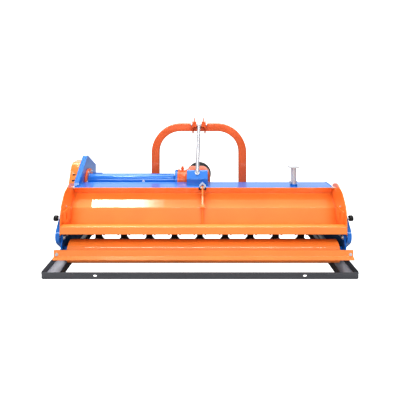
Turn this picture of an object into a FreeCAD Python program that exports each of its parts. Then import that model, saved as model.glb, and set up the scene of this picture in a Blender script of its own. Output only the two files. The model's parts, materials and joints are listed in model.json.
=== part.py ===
import FreeCAD, Part
import math
import os

from FreeCAD import Vector

# Flail mulcher for a tractor's three-point hitch, standing on its steel shipping frame.
# Millimetres. +Z up, +Y towards the tractor, +X to the right seen from behind.
# The origin is on the floor, at the middle of the shipping frame.

# ---- Shipping frame ----
FRAME_LENGTH = 1960.0
FRAME_DEPTH = 980.0
END_BAR_THICKNESS = 6.0
END_BAR_HEIGHT = 40.0
END_BAR_CUT_BACK = 9.0
CHANNEL_WIDTH = 120.0
CHANNEL_HEIGHT = 45.0
CHANNEL_WALL = 5.0
TIE_SLOT_SPACING = 1296.0
TIE_SLOT_LENGTH = 24.0
TIE_SLOT_HEIGHT = 14.0

# ---- Housing ----
BODY_CENTRE_X = 22.0
SIDE_PLATE_INNER = 909.0
SIDE_PLATE_THICKNESS = 8.0
SIDE_RIM_WIDTH = 18.0
SIDE_RIM_THICKNESS = 8.0
DECK_THICKNESS = 5.0
DECK_REAR_Y = -190.0
DECK_TOP_Z = 480.0
DECK_FRONT_Y = -40.0
SLOPE_BREAK_Y = 60.0
SLOPE_BREAK_Z = 402.0
SLOPE_FRONT_Y = 300.0
SLOPE_FRONT_Z = 312.0
FRONT_LIP_Y = 306.0
FRONT_LIP_Z = 240.0
SIDE_PLATE_BOTTOM_Z = 60.0
REAR_EDGE = [(-252, 462, 20), (-364, 348, 60), (-440, 262, 60), (-440, 205, 70),
             (-262, SIDE_PLATE_BOTTOM_Z, 50)]
RIM_START = (-270, 444)
RIM_END = (-290, 83)
SKID_INNER = 905.0
SKID_WIDTH = 40.0
SKID_THICKNESS = 8.0
FLAP_COUNT = 28
FLAP_GAP = 4.0
FLAP_THICKNESS = 4.0
FLAP_Y = 286.0
FLAP_ROD_Z = 258.0
FLAP_ROD_RADIUS = 6.0
FLAP_BOTTOM_Z = 100.0

# ---- Hood ----
HINGE_Y = -222.0
HINGE_Z = 490.0
HINGE_PIN_RADIUS = 8.0
HINGE_EYE_RADIUS = 14.0
HINGE_EAR_RADIUS = 11.5
HINGE_EAR_GAP = 3.0
HINGE_EAR_THICKNESS = 5.0
HINGE_CAP_HALF = 24.0
HINGE_CAP_DEPTH = 6.0
RUNNING_GAP = 0.05
HOOD_CHEEK_OUTER = 903.0
HOOD_CHEEK_THICKNESS = 4.0
HOOD_SHEET = 3.0
HOOD_BEND = 4.0
HOOD_PATH = [(-214, 484), (-165, 434), (-253, 362), (-284, 255), (-446, 259), (-447, 304), (-418, 308)]
HOOD_NOTCH = 26.0
RIB_X = 17.0
RIB_THICKNESS = 12.0
LOCK_Y = -400.0
LOCK_Z = 343.0
LOCK_BRACKET_THICKNESS = 10.0
LOCK_STUD_RADIUS = 5.0
LOCK_STUD_LENGTH = 30.0
KNOB_RADIUS = 18.5
KNOB_LENGTH = 26.0

# ---- Rotor ----
ROTOR_Y = -80.0
ROTOR_Z = 237.0
ROTOR_TUBE_RADIUS = 57.0
ROTOR_TUBE_HALF = 856.0
ROTOR_JOURNAL_RADIUS = 25.0
BEARING_FLANGE_RADIUS = 58.0
BEARING_FLANGE_THICKNESS = 16.0
BEARING_CAP_RADIUS = 40.0
BEARING_DEPTH = 38.0
FLAIL_COUNT = 36
FLAIL_ROWS = 4
FLAIL_PITCH = 46.0
FLAIL_PIVOT_RADIUS = 110.0
FLAIL_TIP_RADIUS = 187.0
LUG_OUTER = 45.0
LUG_THICKNESS = 10.0
LUG_WIDTH = 40.0
LUG_END = 20.0
FLAIL_WIDTH = 36.0
FLAIL_SHANK = 40.0
FLAIL_FORK = 42.0
FLAIL_SPLAY = 46.0
FLAIL_BUSH_RADIUS = 12.0
BLADE_THICKNESS = 8.0

# ---- Roller and its guard ----
ROLLER_Y = -372.0
ROLLER_Z = 122.0
ROLLER_RADIUS = 72.0
ROLLER_HALF = 864.0
ROLLER_WALL = 6.0
ROLLER_RECESS = 12.0
ROLLER_SHAFT_RADIUS = 15.0
ROLLER_ARM_THICKNESS = 10.0
ROLLER_ARM_TOP_Z = 240.0
ROLLER_BEARING_RADIUS = 29.0
ROLLER_BEARING_DEPTH = 30.0
GUARD_HALF = 935.0
GUARD_SHEET = 4.0
GUARD_FACE_Y = -462.0
GUARD_TOP_Z = 166.0
GUARD_LIP_Y = -485.0
GUARD_LIP_Z = 115.0
GUARD_BRACKET_THICKNESS = 6.0

# ---- Drive line ----
DRIVE_X = -8.0
DRIVE_Y = 60.0
DRIVE_Z = 470.0
TUBE_RADIUS = 48.0
TUBE_LEFT_X = -846.0
TUBE_RIGHT_X = -188.0
TUBE_RING_RADIUS = 86.0
BACKPLATE_X = -860.0
BACKPLATE_THICKNESS = 8.0
BELT_GUARD_INNER_X = -895.0
BELT_GUARD_OUTER_X = -955.0
BELT_GUARD_SHEET = 3.0
GEARBOX_LEFT_X = -169.0
GEARBOX_PAD = 6.0
GEARBOX_PAD_MARGIN = 8.0
GEARBOX_HALF = 84.0
GEARBOX_TOP_Z = 566.0
GEARBOX_BOTTOM_Z = 370.0
GEARBOX_REAR_Y = -8.0
GEARBOX_FRONT_Y = 118.0
GEARBOX_CHAMFER = 6.0
OUTPUT_NECK_RADIUS = 72.0
OUTPUT_FLANGE_RADIUS = 79.0
OUTPUT_FLANGE_THICKNESS = 16.0
OUTPUT_SHOULDER_LENGTH = 30.0
OUTPUT_SHOULDER_RADIUS = 86.0
BREATHER_X = -134.0
BREATHER_TOP_Z = 573.0
BREATHER_RADIUS = 9.0
COLLAR_RADIUS = 77.0
INPUT_NECK_RADIUS = 45.0
INPUT_NECK_END_Y = 136.0
PTO_SEAL_START_Y = 96.0
PTO_SEAL_RADIUS = 22.0
PTO_RADIUS = 17.46
PTO_END_Y = 232.0
SHIELD_REAR_Y = 132.0
SHIELD_FRONT_Y = 250.0
SHIELD_REAR_RADIUS = 64.0
SHIELD_FRONT_RADIUS = 97.0
SHIELD_WALL = 4.0

# ---- Hitch ----
HITCH_X = DRIVE_X
HOOP_HALF = 378.0
HOOP_TOP_Z = 888.0
HOOP_TUBE = 60.0
HOOP_Y = 200.0
HOOP_OUTER_RADIUS = 232.0
EAR_GAP = 54.0
EAR_THICKNESS = 10.0
TOP_LINK_Y = 275.0
TOP_LINK_Z = 868.0
TOP_LINK_HOLE_RADIUS = 12.9
LOWER_PIN_Y = 400.0
LOWER_PIN_Z = 335.0
LOWER_PIN_RADIUS = 14.2
LOWER_PIN_LENGTH = 100.0
LOWER_PIN_SHOULDER = 412.0
LOWER_PIN_SHOULDER_RADIUS = 20.0
LOWER_PIN_NUT_THICKNESS = 14.0
LOWER_PIN_NUT_RADIUS = 24.0
HITCH_PLATE_THICKNESS = 12.0
BRACE_RADIUS = 13.5
BRACE_FOOT = Vector(-20, -88, 558.4)
BRACE_FOOT_RADIUS = 17.0
BRACE_FOOT_THICKNESS = 4.0
BRACE_EYE_HALF = 17.0
BRACE_EYE_RADIUS = 19.0
SADDLE_HALF = 53.0
PEG_X = 34.0
PEG_TOP_Z = 937.0
PEG_RADIUS = 4.0
BRACE_EYE = Vector(HITCH_X, 148, 884)
BRACE_PIN_RADIUS = 10.0

BRACKET_LEFT_X = -95.0
BRACKET_RIGHT_X = 56.0
BRACKET_SHEET = 8.0

# ---- Parking stand ----
STAND_X = 671.0
STAND_Y = -123.0
STAND_TUBE_RADIUS = 17.5
STAND_TOP_Z = 613.0
STAND_BOTTOM_Z = 436.0
STAND_FOOT = 66.0
STAND_FOOT_THICKNESS = 6.0
STAND_COLLAR_RADIUS = 25.0
STAND_COLLAR_HEIGHT = 10.0
STAND_SLEEVE_RADIUS = 23.0


# ---- Small building blocks ----

def block(x_range, y_range, z_range):
    """Box between two values on each axis."""
    size = [high - low for low, high in (x_range, y_range, z_range)]
    return Part.makeBox(*size, Vector(x_range[0], y_range[0], z_range[0]))


def rod(start, end, radius):
    """Round bar from one point to another."""
    span = end - start
    return Part.makeCylinder(radius, span.Length, start, span)


def rod_x(x_start, x_end, y, z, radius):
    """Round bar along X."""
    return rod(Vector(x_start, y, z), Vector(x_end, y, z), radius)


def rod_y(y_start, y_end, x, z, radius):
    """Round bar along Y."""
    return rod(Vector(x, y_start, z), Vector(x, y_end, z), radius)


def rod_z(z_start, z_end, x, y, radius):
    """Round bar along Z."""
    return rod(Vector(x, y, z_start), Vector(x, y, z_end), radius)


def hex_bar_x(x_start, x_end, y, z, radius):
    """Six-sided bar along X, measured to its corners."""
    turns = [math.radians(60 * side) for side in range(7)]
    ring = [Vector(x_start, y + radius * math.cos(turn), z + radius * math.sin(turn)) for turn in turns]
    return Part.Face(Part.makePolygon(ring)).extrude(Vector(x_end - x_start, 0, 0))


def fused(shapes):
    """One solid from touching shapes, with flush faces merged."""
    return shapes[0].fuse(shapes[1:]).removeSplitter()


def rounded_corner(before, point, after, radius):
    """Start, middle and end of the arc that rounds one corner of an outline."""
    to_before = (before - point).normalize()
    to_after = (after - point).normalize()
    half_angle = to_before.getAngle(to_after) / 2
    setback = radius / math.tan(half_angle)
    bisector = (to_before + to_after).normalize()
    middle = point + bisector * (radius / math.sin(half_angle) - radius)
    return point + to_before * setback, middle, point + to_after * setback


def outline_face(points):
    """Flat face from (corner, radius) pairs, where a radius of 0 leaves the corner sharp."""
    arcs = []
    for index, (point, radius) in enumerate(points):
        if radius:
            before = points[index - 1][0]
            after = points[(index + 1) % len(points)][0]
            arcs.append(rounded_corner(before, point, after, radius))
        else:
            arcs.append((point, None, point))
    edges = []
    for index, (start, middle, end) in enumerate(arcs):
        if middle:
            edges.append(Part.Arc(start, middle, end).toShape())
        following = arcs[(index + 1) % len(arcs)][0]
        if end.distanceToPoint(following) > 1e-6:
            edges.append(Part.makeLine(end, following))
    return Part.Face(Part.Wire(edges))


def side_profile(corners, x_start, x_end):
    """Outline in the Y-Z plane, as (y, z) or (y, z, radius) corners, run from one X to another."""
    points = [(Vector(x_start, y, z), radius[0] if radius else 0) for y, z, *radius in corners]
    return outline_face(points).extrude(Vector(x_end - x_start, 0, 0))


def rear_profile(corners, y_start, y_end):
    """Outline in the X-Z plane, as (x, z) or (x, z, radius) corners, run from one Y to another."""
    points = [(Vector(x, y_start, z), radius[0] if radius else 0) for x, z, *radius in corners]
    return outline_face(points).extrude(Vector(0, y_end - y_start, 0))


def sheet_section(path, thickness, bend):
    """Cross-section of a folded sheet: one side on the path, the other to the left of it.

    A corner's third value is its radius on the path's side; otherwise the bend's inside is used.
    """
    steps = []
    for (y_start, z_start, *_), (y_end, z_end, *_) in zip(path, path[1:]):
        length = math.hypot(y_end - y_start, z_end - z_start)
        steps.append(((y_end - y_start) / length, (z_end - z_start) / length))
    near_side = []
    far_side = []
    for index, (y, z, *given) in enumerate(path):
        step_in = steps[max(index - 1, 0)]
        step_out = steps[min(index, len(steps) - 1)]
        share = 1 + step_in[0] * step_out[0] + step_in[1] * step_out[1]
        shift_y = -thickness * (step_in[1] + step_out[1]) / share
        shift_z = thickness * (step_in[0] + step_out[0]) / share
        turns_left = step_in[0] * step_out[1] > step_in[1] * step_out[0]
        near_radius = 0
        far_radius = 0
        if 0 < index < len(path) - 1:
            near_radius = given[0] if given else bend + (thickness if turns_left else 0)
            far_radius = near_radius - thickness if turns_left else near_radius + thickness
        near_side.append((y, z, near_radius))
        far_side.append((y + shift_y, z + shift_z, far_radius))
    return near_side + far_side[::-1]


def folded_sheet(path, thickness, bend, x_start, x_end):
    """Folded sheet with one section all along X."""
    return side_profile(sheet_section(path, thickness, bend), x_start, x_end)


def body_x(distance):
    """X of a distance measured from the housing's centre line."""
    return BODY_CENTRE_X + distance


def other_side(shape):
    """Mirror image about the housing's centre line."""
    return shape.mirror(Vector(BODY_CENTRE_X, 0, 0), Vector(1, 0, 0))


def housing_pair(shape):
    """A shape and its mirror image about the housing's centre line, as two solids."""
    return Part.Compound([shape, other_side(shape)])


def hitch_pair(shape):
    """A shape measured from the hitch's centre line and its mirror image, as two solids."""
    right = shape.translated(Vector(HITCH_X, 0, 0))
    return Part.Compound([right, right.mirror(Vector(HITCH_X, 0, 0), Vector(1, 0, 0))])


def slope_z(y):
    """Height of the housing's upper face over the long front slope."""
    share = (y - SLOPE_BREAK_Y) / (SLOPE_FRONT_Y - SLOPE_BREAK_Y)
    return SLOPE_BREAK_Z + share * (SLOPE_FRONT_Z - SLOPE_BREAK_Z)


def deck_z(y):
    """Height of the housing's upper face over the short slope behind the long one."""
    share = (y - DECK_FRONT_Y) / (SLOPE_BREAK_Y - DECK_FRONT_Y)
    return DECK_TOP_Z + share * (SLOPE_BREAK_Z - DECK_TOP_Z)


def room_under_deck(x_start, x_end, lift=0.0):
    """Everything below the housing's upper face, used to seat pieces on it."""
    corners = [(DECK_REAR_Y, DECK_TOP_Z + lift), (DECK_FRONT_Y, DECK_TOP_Z + lift),
               (SLOPE_BREAK_Y, SLOPE_BREAK_Z + lift), (SLOPE_FRONT_Y, SLOPE_FRONT_Z + lift),
               (SLOPE_FRONT_Y, 0), (DECK_REAR_Y, 0)]
    return side_profile(corners, x_start, x_end)


# ---- Shipping frame ----

def end_bar(y_start):
    """Flat bar on edge across the frame, with two slots for tying it down."""
    half = FRAME_LENGTH / 2
    y_end = y_start + END_BAR_THICKNESS
    foot = half - END_BAR_CUT_BACK
    ends = [(-half, END_BAR_HEIGHT), (half, END_BAR_HEIGHT), (foot, 0), (-foot, 0)]
    bar = rear_profile(ends, y_start, y_end)
    reach = TIE_SLOT_LENGTH / 2
    rise = TIE_SLOT_HEIGHT / 2
    middle = END_BAR_HEIGHT / 2
    for x in (-TIE_SLOT_SPACING / 2, TIE_SLOT_SPACING / 2):
        outline = [(x + dx * reach, middle + dz * rise, rise)
                   for dx, dz in ((-1, -1), (1, -1), (1, 1), (-1, 1))]
        bar = bar.cut(rear_profile(outline, y_start, y_end))
    return bar


def side_channel(x_start):
    """U-channel, open side up, between the two end bars."""
    end = FRAME_DEPTH / 2 - END_BAR_THICKNESS
    outer = block((x_start, x_start + CHANNEL_WIDTH), (-end, end), (0, CHANNEL_HEIGHT))
    inside = (x_start + CHANNEL_WALL, x_start + CHANNEL_WIDTH - CHANNEL_WALL)
    return outer.cut(block(inside, (-end, end), (CHANNEL_WALL, CHANNEL_HEIGHT)))


def shipping_frame():
    """Two channels and two flat bars."""
    return {
        "shipping_bar_rear": end_bar(-FRAME_DEPTH / 2),
        "shipping_bar_front": end_bar(FRAME_DEPTH / 2 - END_BAR_THICKNESS),
        "shipping_channel_left": side_channel(-FRAME_LENGTH / 2),
        "shipping_channel_right": side_channel(FRAME_LENGTH / 2 - CHANNEL_WIDTH),
    }


# ---- Housing ----

def deck():
    """Top and front of the housing, folded from one sheet."""
    path = [(FRONT_LIP_Y, FRONT_LIP_Z), (SLOPE_FRONT_Y, SLOPE_FRONT_Z), (SLOPE_BREAK_Y, SLOPE_BREAK_Z),
            (DECK_FRONT_Y, DECK_TOP_Z), (DECK_REAR_Y, DECK_TOP_Z)]
    sheet = folded_sheet(path, DECK_THICKNESS, 6.0, body_x(-SIDE_PLATE_INNER), body_x(SIDE_PLATE_INNER))
    return sheet.cut(rod_z(DECK_TOP_Z - 20, DECK_TOP_Z + 20, STAND_X, STAND_Y, STAND_TUBE_RADIUS + 0.5))


def side_plate():
    """Right side of the housing, with the turned-out rim that follows its rear edge."""
    outline = [(DECK_FRONT_Y, DECK_TOP_Z), (DECK_REAR_Y, DECK_TOP_Z), (-200, 508, 18), (-244, 508, 18)]
    outline += REAR_EDGE
    outline += [(240, SIDE_PLATE_BOTTOM_Z, 50), (FRONT_LIP_Y, 120, 40), (FRONT_LIP_Y, FRONT_LIP_Z),
                (SLOPE_FRONT_Y, SLOPE_FRONT_Z), (SLOPE_BREAK_Y, SLOPE_BREAK_Z)]
    inner = body_x(SIDE_PLATE_INNER)
    outer = inner + SIDE_PLATE_THICKNESS
    plate = side_profile(outline, inner, outer)
    rim_path = [RIM_START] + REAR_EDGE[1:-1] + [RIM_END]
    rim = folded_sheet(rim_path, SIDE_RIM_THICKNESS, 0, outer, outer + SIDE_RIM_WIDTH)
    holes = [
        rod_x(inner, outer, ROTOR_Y, ROTOR_Z, ROTOR_JOURNAL_RADIUS + 8),
        rod_x(inner, outer, HINGE_Y, HINGE_Z, HINGE_PIN_RADIUS),
    ]
    return fused([plate, rim]).cut(holes)


def skid():
    """Bent shoe under the right side plate."""
    path = [(-294, 84), (-236, CHANNEL_WALL, 50), (226, CHANNEL_WALL, 60), (286, 66)]
    shoe = folded_sheet(path, SKID_THICKNESS, 0, body_x(SKID_INNER), body_x(SKID_INNER + SKID_WIDTH))
    return shoe.cut(side_plate())


def front_flaps():
    """Row of steel flaps on the rod inside the front lip."""
    pieces = [rod_x(body_x(-SIDE_PLATE_INNER), body_x(SIDE_PLATE_INNER), FLAP_Y, FLAP_ROD_Z, FLAP_ROD_RADIUS)]
    pitch = 2 * SIDE_PLATE_INNER / FLAP_COUNT
    for index in range(FLAP_COUNT):
        start = body_x(-SIDE_PLATE_INNER) + index * pitch + FLAP_GAP / 2
        y_range = (FLAP_Y - FLAP_THICKNESS / 2, FLAP_Y + FLAP_THICKNESS / 2)
        pieces.append(block((start, start + pitch - FLAP_GAP), y_range, (FLAP_BOTTOM_Z, FLAP_ROD_Z)))
    return fused(pieces)


def rotor_bearing():
    """Flanged bearing on the outside of the right side plate."""
    face = body_x(SIDE_PLATE_INNER + SIDE_PLATE_THICKNESS)
    flange_end = face + BEARING_FLANGE_THICKNESS
    flange = rod_x(face, flange_end, ROTOR_Y, ROTOR_Z, BEARING_FLANGE_RADIUS)
    cap = rod_x(flange_end, face + BEARING_DEPTH, ROTOR_Y, ROTOR_Z, BEARING_CAP_RADIUS)
    bore = rod_x(face, face + BEARING_DEPTH - 8, ROTOR_Y, ROTOR_Z, ROTOR_JOURNAL_RADIUS + RUNNING_GAP)
    return fused([flange, cap]).cut(bore)


# ---- Roller and its guard ----

def roller():
    """Rear roller: tube with set-in end discs and a stub shaft at each end."""
    left, right = body_x(-ROLLER_HALF), body_x(ROLLER_HALF)
    tube = rod_x(left, right, ROLLER_Y, ROLLER_Z, ROLLER_RADIUS)
    bore = ROLLER_RADIUS - ROLLER_WALL
    recesses = [rod_x(left, left + ROLLER_RECESS, ROLLER_Y, ROLLER_Z, bore),
                rod_x(right - ROLLER_RECESS, right, ROLLER_Y, ROLLER_Z, bore)]
    shaft_half = SIDE_PLATE_INNER - 4
    shaft = rod_x(body_x(-shaft_half), body_x(shaft_half), ROLLER_Y, ROLLER_Z, ROLLER_SHAFT_RADIUS)
    return tube.cut(recesses).fuse(shaft)


def roller_bearing():
    """Arm on the inside of the right side plate with the roller's round bearing housing."""
    outer_face = body_x(SIDE_PLATE_INNER)
    inner_face = outer_face - ROLLER_BEARING_DEPTH
    outline = [(ROLLER_Y - 46, ROLLER_Z - 42, 38), (ROLLER_Y + 40, ROLLER_Z - 42, 38),
               (-318, ROLLER_ARM_TOP_Z, 18), (-400, ROLLER_ARM_TOP_Z, 18), (ROLLER_Y - 46, 176, 30)]
    arm = side_profile(outline, outer_face - ROLLER_ARM_THICKNESS, outer_face)
    housing = rod_x(inner_face, outer_face, ROLLER_Y, ROLLER_Z, ROLLER_BEARING_RADIUS)
    bore = rod_x(inner_face, outer_face, ROLLER_Y, ROLLER_Z, ROLLER_SHAFT_RADIUS + RUNNING_GAP)
    return fused([arm, housing]).cut(bore)


def rear_guard():
    """Folded guard behind the roller."""
    path = [(GUARD_FACE_Y, GUARD_TOP_Z), (GUARD_FACE_Y, 128), (GUARD_LIP_Y, GUARD_LIP_Z)]
    return folded_sheet(path, GUARD_SHEET, 5.0, body_x(-GUARD_HALF), body_x(GUARD_HALF))


def guard_bracket():
    """Angle that carries the guard's right end on the roller arm."""
    arm_face = body_x(SIDE_PLATE_INNER) - ROLLER_ARM_THICKNESS
    left = arm_face - GUARD_BRACKET_THICKNESS
    back = GUARD_FACE_Y + GUARD_SHEET
    heights = (124, 158)
    web = block((left, arm_face), (back, -403), heights)
    foot = block((left, body_x(GUARD_HALF)), (back, back + GUARD_BRACKET_THICKNESS), heights)
    return fused([web, foot])


# ---- Rotor ----

def flail_stations():
    """Place along the rotor and turn in degrees of every flail, in a four-start spiral."""
    first = -FLAIL_PITCH * (FLAIL_COUNT - 1) / 2
    turn = 360 / FLAIL_ROWS
    return [(body_x(first + index * FLAIL_PITCH), turn * (index + 1)) for index in range(FLAIL_COUNT)]


def on_rotor(shape, x, turn):
    """A piece modelled pointing up from the origin, set on the rotor."""
    placed = shape.copy()
    placed.rotate(Vector(0, 0, 0), Vector(1, 0, 0), turn)
    placed.translate(Vector(x, ROTOR_Y, ROTOR_Z))
    return placed


def lug(x_start):
    """One cheek of a flail's bracket, pointing up from the rotor's axis."""
    half = LUG_WIDTH / 2
    top = FLAIL_PIVOT_RADIUS + LUG_END
    corners = [(-half, ROTOR_TUBE_RADIUS - 8), (half, ROTOR_TUBE_RADIUS - 8), (half, top - 10),
               (half - 9, top), (9 - half, top), (-half, top - 10)]
    return side_profile(corners, x_start, x_start + LUG_THICKNESS)


def flail():
    """Two splayed blades and a straight one on their pivot bush, pointing up from the rotor's axis."""
    tip = FLAIL_TIP_RADIUS - 2
    fork = FLAIL_PIVOT_RADIUS + FLAIL_FORK
    half_shank = FLAIL_SHANK / 2
    blade = BLADE_THICKNESS / 2
    right_side = [(half_shank, FLAIL_PIVOT_RADIUS - 16), (half_shank, fork - 4), (FLAIL_SPLAY, tip - 6),
                  (FLAIL_SPLAY - 6, tip), (half_shank - 8, fork), (blade, fork), (blade, tip)]
    left_side = [(-x, z) for x, z in right_side[::-1]]
    blades = rear_profile(right_side + left_side, -FLAIL_WIDTH / 2, FLAIL_WIDTH / 2)
    reach = LUG_OUTER - LUG_THICKNESS - 0.3
    return fused([blades, hex_bar_x(-reach, reach, 0, FLAIL_PIVOT_RADIUS, FLAIL_BUSH_RADIUS)])


def rotor_drum():
    """Rotor tube with its journals and the welded lugs."""
    tube = rod_x(body_x(-ROTOR_TUBE_HALF), body_x(ROTOR_TUBE_HALF), ROTOR_Y, ROTOR_Z, ROTOR_TUBE_RADIUS)
    journal_end = SIDE_PLATE_INNER + SIDE_PLATE_THICKNESS + 26
    journal = rod_x(body_x(-journal_end), body_x(journal_end), ROTOR_Y, ROTOR_Z, ROTOR_JOURNAL_RADIUS)
    cheeks = [lug(-LUG_OUTER), lug(LUG_OUTER - LUG_THICKNESS)]
    lugs = [on_rotor(cheek, x, turn) for x, turn in flail_stations() for cheek in cheeks]
    return tube.fuse([journal] + lugs)


def rotor_flails():
    """All the flails, as solids that don't touch."""
    one = flail()
    return Part.Compound([on_rotor(one, x, turn) for x, turn in flail_stations()])


# ---- Hood ----

def hood_skin():
    """Rear hood: a sheet folded into a hinge strip, two panels, a shelf and an upturned edge."""
    half = HOOD_CHEEK_OUTER - HOOD_CHEEK_THICKNESS
    sheet = folded_sheet(HOOD_PATH, HOOD_SHEET, HOOD_BEND, body_x(-half), body_x(half))
    return sheet.cut(block((RIB_X - HOOD_NOTCH, RIB_X + HOOD_NOTCH), (-240, DECK_REAR_Y), (464, 500)))


def hood_cheek():
    """Right end of the hood, with its bowed rear edge and the eye for the hinge pin."""
    outline = [(-200, 478, 8), (-200, 508, 14), (-236, 524, 16), (-288, 536, 40), (-372, 500, 80),
               (-436, 420, 120), (-450, 330, 60), (-450, 250, 8), (-278, 246, 8), (-246, 358), (-158, 434, 6)]
    outer = body_x(HOOD_CHEEK_OUTER)
    plate = side_profile(outline, outer - HOOD_CHEEK_THICKNESS, outer)
    eye = rod_x(outer - HOOD_CHEEK_THICKNESS, outer, HINGE_Y, HINGE_Z, HINGE_PIN_RADIUS + RUNNING_GAP)
    return plate.cut(eye)


def hood_rib():
    """Centre stiffener with the middle hinge eye and a stop boss."""
    left, right = RIB_X - RIB_THICKNESS / 2, RIB_X + RIB_THICKNESS / 2
    outline = [(-210, 478), (-222, 480), (-236, 492), (-262, 440, 20), (-284, 380, 20), (-302, 256)]
    outline += [HOOD_PATH[3], HOOD_PATH[2], HOOD_PATH[1]]
    web = side_profile(outline, left, right)
    eye = rod_x(left, right, HINGE_Y, HINGE_Z, HINGE_EYE_RADIUS)
    boss = rod_x(left - 8, right + 8, -278, 376, 14)
    bore = rod_x(left, right, HINGE_Y, HINGE_Z, HINGE_PIN_RADIUS + RUNNING_GAP)
    return fused([web, eye, boss]).cut([bore, hood_skin()])


def lock_bracket():
    """Slotted block on the inside of the hood's right cheek."""
    face = body_x(HOOD_CHEEK_OUTER - HOOD_CHEEK_THICKNESS)
    inner = face - LOCK_BRACKET_THICKNESS
    plate = side_profile([(-406, 300, 6), (-292, 300, 6), (-292, 388, 6), (-406, 388, 6)], inner, face)
    slot = side_profile([(-371, 316, 7), (-357, 316, 7), (-357, 368, 7), (-371, 368, 7)], inner, face)
    return plate.cut(slot)


def lock_knob():
    """Round knob and stud that lock the hood, on its right cheek."""
    face = body_x(HOOD_CHEEK_OUTER)
    knob_face = face + LOCK_STUD_LENGTH - 1
    stud = rod_x(face, face + LOCK_STUD_LENGTH, LOCK_Y, LOCK_Z, LOCK_STUD_RADIUS)
    knob = rod_x(knob_face, knob_face + KNOB_LENGTH, LOCK_Y, LOCK_Z, KNOB_RADIUS)
    return fused([stud, knob])


def hinge_pin():
    """Pin through the right side plate and the hood's cheek."""
    return rod_x(body_x(HOOD_CHEEK_OUTER - 16), body_x(SIDE_PLATE_INNER + SIDE_PLATE_THICKNESS + 5),
                 HINGE_Y, HINGE_Z, HINGE_PIN_RADIUS)


def centre_hinge():
    """Two ears on the deck's rear edge with the middle hinge pin."""
    radius = HINGE_EAR_RADIUS
    eye = radius - 1
    outline = [(-150, DECK_TOP_Z), (-158, HINGE_Z + radius, 8), (HINGE_Y - radius, HINGE_Z + radius, eye),
               (HINGE_Y - radius, HINGE_Z - radius, eye), (DECK_REAR_Y, HINGE_Z - radius),
               (DECK_REAR_Y, DECK_TOP_Z)]
    gap = RIB_THICKNESS / 2 + HINGE_EAR_GAP
    pin_half = gap + HINGE_EAR_THICKNESS + 3
    right_ear = side_profile(outline, RIB_X + gap, RIB_X + gap + HINGE_EAR_THICKNESS)
    left_ear = side_profile(outline, RIB_X - gap - HINGE_EAR_THICKNESS, RIB_X - gap)
    pin = rod_x(RIB_X - pin_half, RIB_X + pin_half, HINGE_Y, HINGE_Z, HINGE_PIN_RADIUS)
    eaves = HINGE_Z + radius - 2
    ridge = eaves + HINGE_CAP_HALF
    slope = [(RIB_X + dx, z) for dx, z in ((-HINGE_CAP_HALF, eaves), (0, ridge), (HINGE_CAP_HALF, eaves))]
    under = [(x, z - HINGE_CAP_DEPTH) for x, z in slope[::-1]]
    cap = rear_profile(slope + under, -240, -196)
    return pin.fuse([right_ear, left_ear, cap])


# ---- Belt drive and shaft tube ----

def belt_backplate():
    """Plate that carries the shaft tube's left end, with a flange towards the belt guard."""
    top_edge = [(-142, 506, 12), (55, 660, 16), (278, 542, 14)]
    outline = [(-150, DECK_TOP_Z)] + top_edge
    outline += [(278, slope_z(278)), (SLOPE_BREAK_Y, SLOPE_BREAK_Z), (DECK_FRONT_Y, DECK_TOP_Z)]
    plate = side_profile(outline, BACKPLATE_X - BACKPLATE_THICKNESS, BACKPLATE_X)
    flange_path = [(278, slope_z(278))] + top_edge[::-1] + [(-150, DECK_TOP_Z)]
    flange = folded_sheet(flange_path, 4.0, 0, BELT_GUARD_INNER_X, BACKPLATE_X - BACKPLATE_THICKNESS)
    stay = block((BACKPLATE_X, BACKPLATE_X + 58), (262, 270), (462, 476))
    return fused([plate, flange, stay]).cut([room_under_deck(BELT_GUARD_INNER_X, BACKPLATE_X), deck()])


def belt_guard():
    """Sheet cover over the belts, open towards the side plate, with two vent slots behind."""
    corners = [(-22, 616, 50), (-88, 478, 120), (-205, 118, 105), (45, 118, 105), (238, 470, 90),
               (130, 616, 70)]
    points = [(Vector(BELT_GUARD_OUTER_X, y, z), radius) for y, z, radius in corners]
    face = outline_face(points)
    cover = face.extrude(Vector(BELT_GUARD_INNER_X - BELT_GUARD_OUTER_X, 0, 0))
    inside = face.makeOffset2D(-BELT_GUARD_SHEET)
    inside.translate(Vector(BELT_GUARD_SHEET, 0, 0))
    hollow = inside.extrude(Vector(BELT_GUARD_INNER_X - BELT_GUARD_OUTER_X, 0, 0))
    middle = (BELT_GUARD_INNER_X + BELT_GUARD_OUTER_X) / 2
    slots = [block((middle - 10, middle + 10), (-260, -60), (z, z + 9)) for z in (494, 533)]
    return cover.cut([hollow] + slots)


def shaft_tube():
    """Tube round the cross shaft, from the gearbox to the belt drive."""
    return rod_x(TUBE_LEFT_X, TUBE_RIGHT_X, DRIVE_Y, DRIVE_Z, TUBE_RADIUS)


def tube_ring():
    """Round flange that joins the shaft tube to the backplate, cut off at the housing."""
    ring = rod_x(BACKPLATE_X, TUBE_LEFT_X, DRIVE_Y, DRIVE_Z, TUBE_RING_RADIUS)
    return ring.cut([room_under_deck(BACKPLATE_X, TUBE_LEFT_X), deck()])


# ---- Gearbox and PTO ----

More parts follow.
